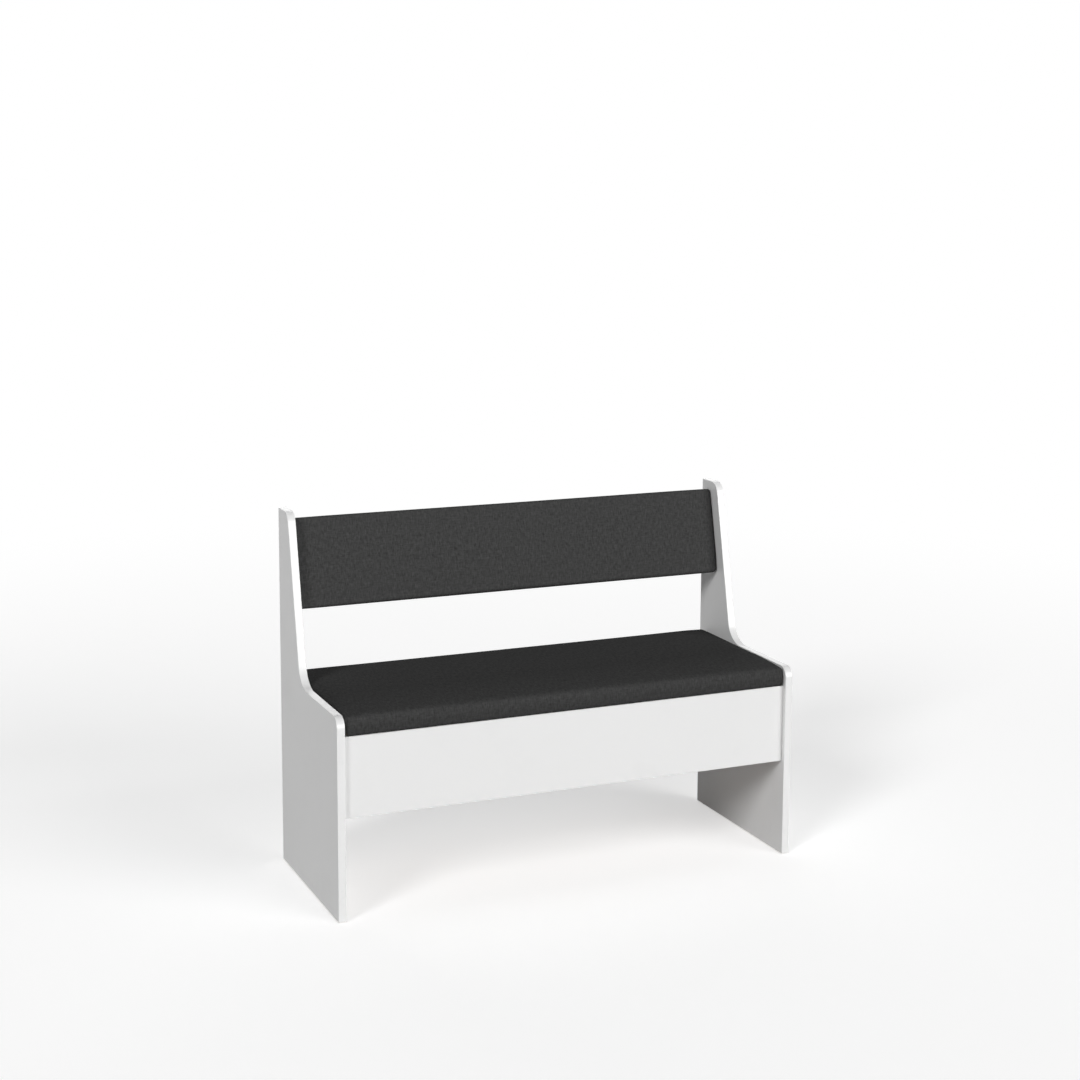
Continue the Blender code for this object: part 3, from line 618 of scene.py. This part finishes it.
def makeScrewTree():
    graph, given = newTree("countersunkScrew", screw)
    size = {label: given.other(label) for label in screw}
    head = graph.node(
        "GeometryNodeMeshCone",
        None,
        {
            "Vertices": 24,
            "Radius Bottom": size["Head Radius"],
            "Radius Top": size["Shank Radius"],
            "Depth": size["Head Depth"],
        },
    )
    bars = []
    for turn in (0, pi / 2):
        extent = graph.node(
            "ShaderNodeCombineXYZ",
            None,
            {0: size["Recess Reach"], 1: size["Recess Width"], 2: size["Recess Depth"] * 2},
        )
        bar = graph.node("GeometryNodeMeshCube", None, {"Size": extent})
        bars.append(graph.node("GeometryNodeTransform", None, {"Geometry": bar, "Rotation": (0.0, 0.0, turn)}))
    cut = graph.node(
        "GeometryNodeMeshBoolean", {"operation": "DIFFERENCE", "solver": "EXACT"}, {"Mesh 1": head, "Mesh 2": bars}
    )
    shank = graph.node(
        "GeometryNodeMeshCone",
        None,
        {
            "Vertices": 12,
            "Radius Bottom": size["Shank Radius"] * 0.97,
            "Radius Top": 0.0002,
            "Depth": size["Length"] - size["Head Depth"],
        },
    )
    lift = graph.node("ShaderNodeCombineXYZ", None, {2: size["Head Depth"] * 0.98})
    shank = graph.node("GeometryNodeTransform", None, {"Geometry": shank, "Translation": lift})
    whole = graph.node("GeometryNodeJoinGeometry", None, {0: [cut, shank]})
    aim = graph.node("GeometryNodeInputNamedAttribute", {"data_type": "FLOAT_VECTOR"}, {"Name": "aim"})
    facing = graph.node("FunctionNodeAlignRotationToVector", {"axis": "Z"}, {"Vector": aim})
    spin = graph.node("FunctionNodeRandomValue", {"data_type": "FLOAT"}, {2: 0.0, 3: pi, "Seed": 11}, 1)
    around = graph.node("ShaderNodeCombineXYZ", None, {2: spin})
    turned = graph.node("FunctionNodeRotateRotation", {"rotation_space": "LOCAL"}, {0: facing, 1: around})
    placed = graph.node(
        "GeometryNodeInstanceOnPoints", None, {"Points": given, "Instance": whole, "Rotation": turned}
    )
    return endTree(graph, placed, "zinc_fitting")


# A CAD screw's head centre and the way it goes in, from its own mesh
def screwAxis(node):
    points = [vertex.co for vertex in nodes[node].data.vertices]
    mean = sum(points, Vector()) / len(points)
    tip = max(points, key=lambda point: (point - mean).length).copy()
    furthest = max((point - tip).length for point in points)
    rim = [point for point in points if (point - tip).length > furthest - 0.0002]
    centre = sum(rim, Vector()) / len(rim)
    return centre, (tip - centre).normalized()


def addScrews(name, labels, body):
    axes = [screwAxis(label) for label in labels]
    mesh = bpy.data.meshes.new("screwPoints")
    mesh.from_pydata([tuple(centre + aim * 0.0001) for centre, aim in axes], [], [])
    aims = mesh.attributes.new("aim", "FLOAT_VECTOR", "POINT")
    for item, (centre, aim) in zip(aims.data, axes):
        item.vector = aim
    plain = grown(mesh, screwTree, screw)
    addPiece(name, plain, "zinc_fitting", body, labels, sharp=30)


screwTree = makeScrewTree()
for body in ("frame", "seat_lid"):
    labels = [label for label in sorted(nodes) if "screw" in label and bodyOf(label) == body]
    addScrews(f"screws_{body}", labels, body)

staple = {
    "Spacing": 0.042,
    "Crown": 0.0095,
    "Wire": 0.00030,
    "Bite": 0.0006,
    "Stray": 0.22,  # radians that a staple may be out of line
}


def makeStapleTree():
    graph, given = newTree("clothStaple", staple)
    size = {label: given.other(label) for label in staple}
    half = size["Crown"] * 0.5
    start = graph.node("ShaderNodeCombineXYZ", None, {0: half * -1})
    end = graph.node("ShaderNodeCombineXYZ", None, {0: half})
    line = graph.node("GeometryNodeCurvePrimitiveLine", None, {"Start": start, "End": end})
    bent = graph.node("GeometryNodeResampleCurve", {"mode": "COUNT"}, {"Curve": line, "Count": 9})
    share = graph.node("GeometryNodeSplineParameter")
    dive = abs(share * 2 - 1) ** 8 * size["Bite"]  # both ends dip into the cloth
    offset = graph.node("ShaderNodeCombineXYZ", None, {2: dive})
    bent = graph.node("GeometryNodeSetPosition", None, {"Geometry": bent, "Offset": offset})
    wire = graph.node(
        "GeometryNodeCurvePrimitiveCircle", {"mode": "RADIUS"}, {"Resolution": 6, "Radius": size["Wire"]}
    )
    crown = graph.node("GeometryNodeCurveToMesh", None, {"Curve": bent, "Profile Curve": wire, "Fill Caps": True})
    path = graph.node("GeometryNodeMeshToCurve", None, {"Mesh": given})
    path = graph.node("GeometryNodeResampleCurve", {"mode": "LENGTH"}, {"Curve": path, "Length": size["Spacing"]})
    tangent = graph.node("GeometryNodeInputTangent")
    facing = graph.node("FunctionNodeAlignRotationToVector", {"axis": "X"}, {"Vector": tangent})
    stray = graph.node(
        "FunctionNodeRandomValue", {"data_type": "FLOAT"}, {2: size["Stray"] * -1, 3: size["Stray"], "Seed": 5}, 1
    )
    around = graph.node("ShaderNodeCombineXYZ", None, {2: stray})
    turned = graph.node("FunctionNodeRotateRotation", {"rotation_space": "LOCAL"}, {0: facing, 1: around})
    placed = graph.node("GeometryNodeInstanceOnPoints", None, {"Points": path, "Instance": crown, "Rotation": turned})
    return endTree(graph, placed, "zinc_fitting")


stapleTree = makeStapleTree()


# Padded seat and backrest. Each has a frame of its own: the cloth's back is at z = 0
lean = radians(12.4)
pads = {
    "seat": {
        "length": 1.060,
        "depth": 0.400,
        "thickness": 0.0495,
        "nearRoll": (0.010, 0.010),  # roll of the front edge: inwards, down
        "nearCrown": (0.0062, 0.140, 2.4),  # drop at the front edge, reach, power
        "farRoll": (0.007, 0.007),
        "farCrown": (0.0010, 0.060, 2.0),
        "endRoll": (0.006, 0.007),
        "endCrown": (0.0015, 0.060, 2.0),
        "bulge": 0.0026,  # how far the sides pull in at the foot and under the roll
        "start": 0.0012,  # how much lower the cloth starts before it swells
        "pressure": 0.4,
        "cap": 0.0018,
        "cell": 0.007,
        "corner": 0.010,
        "paintedLight": (0.16, 0.034, -0.46),  # painted highlight's reach from the front edge over the top and down; painted tone elsewhere, a painted shade on the seat's top
        "place": Matrix.Translation((0, -0.007, 0.4045)),
        "body": "seat_lid",
    },
    "backrest": {
        "length": 1.062,
        "depth": 0.206,
        "thickness": 0.043,
        "nearRoll": (0.009, 0.010),  # the lower edge
        "nearCrown": (0.003, 0.050, 2.0),
        "farRoll": (0.005, 0.005),
        "farCrown": (0.001, 0.050, 2.0),
        "endRoll": (0.007, 0.008),
        "endCrown": (0.002, 0.050, 2.0),
        "bulge": 0.0010,
        "start": 0.0010,
        "pressure": 0.4,
        "cap": 0.0016,
        "cell": 0.007,
        "corner": 0.008,
        # The backrest's cloth is painted lighter than the seat's top, a painted light, with a short painted highlight
        # along its lower edge
        "paintedLight": (0.020, 0.015, 0.25),
        "place": Matrix.Translation((0, 0.1167, 0.6096))
        @ Matrix.Rotation(-lean, 4, "X")
        @ Matrix.Translation((0, 0.043, 0.103))
        @ Matrix.Rotation(pi / 2, 4, "X"),
        "body": "frame",
    },
}
padding = {
    "clothThickness": 0.0014,
    "boardTop": 0.0175,
    "wrap": 0.025,  # how far the cloth goes in under the board
    "foot": 0.006,  # rounding at the foot
    "fullest": 0.42,  # height of the side's fullest place, as a share of the thickness
    "slackRise": 0.008,  # way up from the board's top over which the cloth comes free
    "rollCells": 3,
    "sideCells": 5,
    "paintedHighlightPower": 0.9,  # how the painted highlight fades over the top
    "paintedFoldShade": 0.007,  # height of the painted shade in the fold at the foot
}
swelling = {"quality": 5, "mass": 0.3, "stretch": 40, "shear": 20, "bending": 2, "steps": 20}


def stops(half, nearRoll, farRoll, cell):
    cells = padding["rollCells"]
    low, high = nearRoll - half, half - farRoll
    count = 2 * round((high - low) / cell / 2)
    middle = [low + (high - low) * step / count for step in range(count + 1)]
    before = [low - nearRoll * step / cells for step in range(cells, 0, -1)]
    return before + middle + [high + farRoll * step / cells for step in range(1, cells + 1)]


def dropOf(distance, crown):
    drop, reach, power = crown
    return drop * max(1 - max(distance, 0) / reach, 0) ** power


def makePadMesh(name, look):
    a, b = look["length"] / 2, look["depth"] / 2
    rollX, downX = look["endRoll"]
    (nearY, nearDown), (farY, farDown) = look["nearRoll"], look["farRoll"]
    shrink = look["start"]
    xs, ys = stops(a, rollX, rollX, look["cell"]), stops(b, nearY, farY, look["cell"])
    cells, sides = padding["rollCells"], padding["sideCells"]
    foot, wrap, thick = padding["foot"], padding["wrap"], padding["clothThickness"]

    def pulledIn(z):
        middle = look["thickness"] * padding["fullest"]
        return look["bulge"] * ((z - middle) / middle) ** 2

    # Place inside the rolls, how far round the roll as a tangent, and the roll itself
    def over(value, half, near, far):
        roll = far if value > 0 else near
        low, high = near - half, half - far
        inner = max(low, min(high, value))
        return inner, tan(pi / 4 * (value - inner) / roll), roll

    # Turns the square corner of a size into a round one
    def cornered(place):
        size = look["corner"]
        outX, outY = max(abs(place.x) - a + size, 0), max(abs(place.y) - b + size, 0)
        if outX and outY:
            share = 1 - max(outX, outY) / (outX * outX + outY * outY) ** 0.5
            place.x -= (outX if place.x > 0 else -outX) * share
            place.y -= (outY if place.y > 0 else -outY) * share
        return place

    def heading(x, y):
        inX, outX, rX = over(x, a, rollX, rollX)
        inY, outY, rY = over(y, b, nearY, farY)
        return inX, outX, rX, inY, outY, rY

    # A point of the top or side: rise is 0 at the foot, sides at the roll's start, sides + cells at the top
    def point(x, y, rise):
        inX, outX, rX, inY, outY, rY = heading(x, y)
        up = tan(pi / 4 * max(rise - sides, 0) / cells)
        away = Vector((outX, outY, up)).normalized()
        flat = outX * outX + outY * outY
        downY = farDown if y > 0 else nearDown
        down = (downX * outX * outX + downY * outY * outY) / flat if flat else downY
        placeX, placeY = inX + rX * away.x, inY + rY * away.y
        level = look["thickness"] - dropOf(a - abs(placeX), look["endCrown"])
        level -= dropOf(b + placeY, look["nearCrown"]) + dropOf(b - placeY, look["farCrown"])
        share = min(rise / sides, 1)
        z = foot + (level - down - foot) * share + down * away.z
        slack = shrink * min(max((z - padding["boardTop"]) / padding["slackRise"], 0), 1)
        pull = pulledIn(z) * (1 - away.z)
        return cornered(Vector((placeX - pull * away.x, placeY - pull * away.y, z - slack * away.z)))

    # A point under the pad, at an inset from its outline
    def below(x, y, depth, z):
        inX, outX, rX, inY, outY, rY = heading(x, y)
        away = Vector((outX, outY, 0)).normalized()
        leftX, leftY = max(rX - depth, 0.0004), max(rY - depth, 0.0004)
        return cornered(
            Vector(
                (
                    inX * (a - depth - leftX) / (a - rX) + leftX * away.x,
                    inY * (b - depth - leftY) / (b - rY) + leftY * away.y,
                    z,
                )
            )
        )

    form = bmesh.new()
    lastX, lastY = len(xs) - 1, len(ys) - 1
    rim = [(i, 0) for i in range(lastX)] + [(lastX, j) for j in range(lastY)]
    rim += [(i, lastY) for i in range(lastX, 0, -1)] + [(0, j) for j in range(lastY, 0, -1)]
    top = {(i, j): form.verts.new(point(x, y, sides + cells)) for i, x in enumerate(xs) for j, y in enumerate(ys)}
    pulled = pulledIn(foot)
    under = [(pulled + foot * (1 - cos(turn)), foot * (1 - sin(turn))) for turn in (pi / 6, pi / 3, pi / 2)]
    under += [(wrap * 0.5, 0), (wrap - 0.0006, 0), (wrap, 0.0002)]
    under += [(wrap + 0.0001, thick), (wrap + 0.0020, thick), (wrap + 0.0100, thick)]
    rings = []
    for depth, z in reversed(under):
        rings.append({key: form.verts.new(below(xs[key[0]], ys[key[1]], depth, z)) for key in rim})
    for rise in range(sides + cells):
        rings.append({key: form.verts.new(point(xs[key[0]], ys[key[1]], rise)) for key in rim})
    rings.append({key: top[key] for key in rim})

    run = form.loops.layers.uv.new("clothRun")

    def unrolled(values, half, near, far, downNear, downFar):  # half of each roll's length beyond its inner edge
        out = []
        for value in values:
            inner = max(near - half, min(half - far, value))
            roll, down = (far, downFar) if value > 0 else (near, downNear)
            out.append(inner + (value - inner) / roll * (roll + down) / 2 * pi / 4)
        return out

    runX = unrolled(xs, a, rollX, rollX, downX, downX)
    runY = unrolled(ys, b, nearY, farY, nearDown, farDown)

    def layOut(face, places):
        for loop, place in zip(face.loops, places):
            loop[run].uv = place

    for i in range(lastX):
        for j in range(lastY):
            keys = [(i, j), (i + 1, j), (i + 1, j + 1), (i, j + 1)]
            layOut(form.faces.new([top[key] for key in keys]), [(runX[p], runY[q]) for p, q in keys])
    reach = [0.0]  # way down the middle of the near side, ring by ring from the top
    middle = (lastX // 2, 0)
    for lower, upper in zip(reversed(rings[:-1]), reversed(rings[1:])):
        reach.append(reach[-1] + (upper[middle].co - lower[middle].co).length)
    reach.reverse()
    for level, (lower, upper) in enumerate(zip(rings, rings[1:])):
        for index, key in enumerate(rim):
            after = rim[(index + 1) % len(rim)]
            long = key[1] == after[1]
            places = []
            for (p, q), ring in ((key, level), (after, level), (after, level + 1), (key, level + 1)):
                if long:
                    places.append((runX[p], runY[q] + reach[ring] * (1 if q else -1)))
                else:
                    places.append((runX[p] + reach[ring] * (1 if p else -1), runY[q]))
            layOut(form.faces.new((lower[key], lower[after], upper[after], upper[key])), places)
    base = rings[0]
    for i in range(lastX):  # flat under the lining
        form.faces.new((base[(i, 0)], base[(i, lastY)], base[(i + 1, lastY)], base[(i + 1, 0)]))
    for i, order in ((0, 1), (lastX, -1)):
        ends = [base[(i, j)] for j in range(lastY + 1)][::order]
        form.faces.new(ends)
    mesh = bpy.data.meshes.new(name)
    form.to_mesh(mesh)
    form.free()
    # Painted light and shade on each point: a painted highlight near the front edge, a painted tone elsewhere, and
    # painted shade in the fold at the foot
    backwards, down, plain = look["paintedLight"]
    paintedLight = mesh.attributes.new("paintedLight", "FLOAT", "POINT")
    for vertex, mark in zip(mesh.vertices, paintedLight.data):
        onTop = max(1 - (vertex.co.y + b) / backwards, 0) ** padding["paintedHighlightPower"]
        onFront = max(1 - (look["thickness"] - vertex.co.z) / down, 0)
        mark.value = plain + onTop * onFront - max(1 - vertex.co.z / padding["paintedFoldShade"], 0)
    return mesh


# Lets the cloth swell over the foam, and keeps how far each point may move
def swell(mesh, look):
    holder = bpy.data.objects.new("clothOverFoam", mesh.copy())
    scene.collection.objects.link(holder)
    held = holder.vertex_groups.new(name="held")
    start = [vertex.co.copy() for vertex in mesh.vertices]
    for index, place in enumerate(start):
        held.add([index], 1.0 if place.z < padding["boardTop"] else 0.0, "REPLACE")
    modifier = holder.modifiers.new("Swell", "CLOTH")
    fabric = modifier.settings
    fabric.quality = swelling["quality"]
    fabric.mass = swelling["mass"]
    fabric.tension_stiffness = swelling["stretch"]
    fabric.compression_stiffness = swelling["stretch"]
    fabric.shear_stiffness = swelling["shear"]
    fabric.bending_stiffness = swelling["bending"]
    fabric.use_pressure = True
    fabric.uniform_pressure_force = look["pressure"]
    fabric.effector_weights.gravity = 0
    fabric.vertex_group_mass = "held"
    modifier.collision_settings.use_collision = False
    modifier.point_cache.frame_start = 1
    modifier.point_cache.frame_end = swelling["steps"]
    for step in range(1, swelling["steps"] + 1):
        scene.frame_set(step)
    seen = holder.evaluated_get(bpy.context.evaluated_depsgraph_get())
    moved = [vertex.co.copy() for vertex in seen.data.vertices]
    bpy.data.objects.remove(holder)
    scene.frame_set(1)
    furthest = 0
    for vertex, place, swollen in zip(mesh.vertices, start, moved):
        way = swollen - place
        furthest = max(furthest, way.length)
        if way.length > 0.000001:
            vertex.co = place + way.normalized() * look["cap"] * tanh(way.length / look["cap"])
    print("cloth swelled up to %.1f mm before the cap" % (furthest * 1000))


def addPad(name, look):
    mesh = makePadMesh(f"{name}_upholstery", look)
    swell(mesh, look)
    mesh.transform(look["place"])
    layers = [f"{name}_cover", f"{name}_foam"]
    pad = addPiece(f"{name}_upholstery", mesh, "charcoal_fabric", look["body"], layers, sharp=50)
    smooth = pad.modifiers.new("Smooth cloth", "SUBSURF")
    smooth.levels = 1
    smooth.render_levels = 1
    print(name, "pad done")


for name, look in pads.items():
    addPad(name, look)

# Dust cloths under the seat and on the back of the backrest
dustCloth = {"inset": 0.0253, "level": 0.0006, "thickness": 0.0003, "hem": 0.009, "sag": 0.0002, "cell": 0.012}
stapleRun = {"margin": 0.005, "corner": 0.012, "bracketGap": (-0.052, 0.052)}


def addDustCloth(name, look):
    cut = dustCloth
    a, b = look["length"] / 2 - cut["inset"], look["depth"] / 2 - cut["inset"]
    countX, countY = round(2 * a / cut["cell"]), round(2 * b / cut["cell"])
    xs = [-a, -a + cut["hem"]] + [-a + 2 * a * step / countX for step in range(1, countX)] + [a - cut["hem"], a]
    ys = [-b, -b + cut["hem"]] + [-b + 2 * b * step / countY for step in range(1, countY)] + [b - cut["hem"], b]
    form = bmesh.new()
    run = form.loops.layers.uv.new("clothRun")
    grid = {}
    for i, x in enumerate(xs):
        for j, y in enumerate(ys):
            inside = min(a - abs(x), b - abs(y)) >= cut["hem"] - 0.00001
            wave = cut["sag"] * 0.5 * (sin(x * 41) * sin(y * 67 + x * 9))
            grid[(i, j)] = form.verts.new((x, y, cut["level"] + (0.00025 + wave if inside else 0)))
    for i in range(len(xs) - 1):
        for j in range(len(ys) - 1):
            keys = [(i, j), (i, j + 1), (i + 1, j + 1), (i + 1, j)]  # faces out, away from the pad
            face = form.faces.new([grid[key] for key in keys])
            for loop, (p, q) in zip(face.loops, keys):
                loop[run].uv = (xs[p], ys[q])
    bmesh.ops.transform(form, verts=form.verts, matrix=look["place"])
    sheet = addPiece(f"{name}_dust_cloth", form, "black_lining", look["body"], [f"{name}_lining"], sharp=60)
    wall = sheet.modifiers.new("Cloth thickness", "SOLIDIFY")
    wall.thickness = cut["thickness"]
    wall.offset = -1
    round(2 * a, 4)
    round(2 * b, 4)


# Staples go round the dust cloth's margin. A gap is (lowest, highest) y left free at both ends
def addStaples(name, look, gap=None):
    a = look["length"] / 2 - dustCloth["inset"] - stapleRun["margin"]
    b = look["depth"] / 2 - dustCloth["inset"] - stapleRun["margin"]
    corner = stapleRun["corner"]
    runs = [[(-a + corner, -b), (a - corner, -b)], [(a - corner, b), (-a + corner, b)]]
    for x in (a, -a):
        if gap:
            runs += [[(x, -b + corner), (x, gap[0])], [(x, gap[1]), (x, b - corner)]]
        else:
            runs.append([(x, -b + corner), (x, b - corner)])
    level = dustCloth["level"] - staple["Wire"] * 0.5
    points = [(x, y, level) for run in runs for x, y in run]
    mesh = bpy.data.meshes.new("staplePath")
    mesh.from_pydata(points, [(index, index + 1) for index in range(0, len(points), 2)], [])
    plain = grown(mesh, stapleTree, staple)
    plain.transform(look["place"])
    addPiece(f"{name}_staples", plain, "zinc_fitting", look["body"], sharp=50)


for name, look in pads.items():
    addDustCloth(name, look)
addStaples("seat", pads["seat"])
addStaples("backrest", pads["backrest"], gap=stapleRun["bracketGap"])
print("dust cloths and staples done")

lamps = {
    "key": {"from": (32, 10), "strength": 2.62, "spread": 45},  # azimuth to the right of the front, elevation
    "fill": {"from": (-54, 29), "strength": 1.28, "spread": 18},
    "rear": {"from": (165, 14), "strength": 0.7, "spread": 60},
}
surroundings = {
    "ambient": 0.09,  # the background's light on the bench
    "floorColour": (0.74, 0.74, 0.74),  # as the bench sees it, in the light that it throws up
    "shownColour": (0.94, 0.94, 0.94),  # as the camera sees it
    "lift": 0.50,  # light of its own that the shown floor adds
    "share": 0.9,  # of the shown floor that takes shadows
    "fade": (1.6, 4.5),  # distances over which the floor turns white
}


def addLamps():
    for label, look in lamps.items():
        azimuth, elevation = (radians(value) for value in look["from"])
        towards = Vector((sin(azimuth) * cos(elevation), -cos(azimuth) * cos(elevation), sin(elevation)))
        data = bpy.data.lights.new(label, "SUN")
        data.energy = look["strength"]
        data.angle = radians(look["spread"])
        lamp = bpy.data.objects.new(label, data)
        lamp.rotation_mode = "QUATERNION"
        lamp.rotation_quaternion = towards.to_track_quat("Z", "Y")
        lamp.location = towards * 4
        scene.collection.objects.link(lamp)


# 1 for a ray that should see the background itself
def directRay(graph):
    path = graph.node("ShaderNodeLightPath")
    straight = path.other("Is Camera Ray") + path.other("Is Glossy Ray") + path.other("Is Transmission Ray")
    return straight.math("MINIMUM", straight, 1.0)


def addWorld():
    world = bpy.data.worlds.new("studio")
    world.use_nodes = True
    graph = Graph(world.node_tree)
    ground = world.node_tree.nodes["Background"]
    direct = directRay(graph)
    graph.set(ground, {"Color": (1.0, 1.0, 1.0, 1.0), "Strength": direct + (1 - direct) * surroundings["ambient"]})
    scene.world = world


def addFloor():
    look = surroundings
    form = bmesh.new()
    bmesh.ops.create_grid(form, x_segments=2, y_segments=2, size=20)
    mesh = bpy.data.meshes.new("studioFloor")
    form.to_mesh(mesh)
    form.free()
    floor = bpy.data.objects.new("studioFloor", mesh)
    scene.collection.objects.link(floor)
    material = bpy.data.materials.new("paleFloor")
    material.use_nodes = True
    graph = Graph(material.node_tree)
    material.node_tree.nodes.remove(material.node_tree.nodes["Principled BSDF"])
    direct = directRay(graph)
    place = graph.node("ShaderNodeTexCoord", output="Object")
    distance = graph.node("ShaderNodeVectorMath", {"operation": "LENGTH"}, {0: place}, "Value")
    near, far = look["fade"]
    reach = {"Value": distance, "From Min": near, "From Max": far}
    away = graph.node("ShaderNodeMapRange", {"interpolation_type": "SMOOTHSTEP"}, reach)
    lit = graph.node("ShaderNodeBsdfDiffuse", None, {"Color": (*look["floorColour"], 1.0)})
    pale = graph.node("ShaderNodeBsdfDiffuse", None, {"Color": (*look["shownColour"], 1.0)})
    white = graph.node("ShaderNodeEmission", None, {"Color": (1.0, 1.0, 1.0, 1.0), "Strength": 1.0})
    lifted = graph.node(
        "ShaderNodeEmission", None, {"Color": (1.0, 1.0, 1.0, 1.0), "Strength": look["lift"] / (1 - look["share"])}
    )
    shown = graph.node("ShaderNodeMixShader", None, {0: 1 - look["share"], 1: pale, 2: lifted})
    shown = graph.node("ShaderNodeMixShader", None, {0: away, 1: shown, 2: white})
    both = graph.node("ShaderNodeMixShader", None, {0: direct, 1: lit, 2: shown})
    graph.set(material.node_tree.nodes["Material Output"], {"Surface": both})
    floor.data.materials.append(material)


addLamps()
addWorld()
addFloor()
scene.view_settings.view_transform = "Standard"
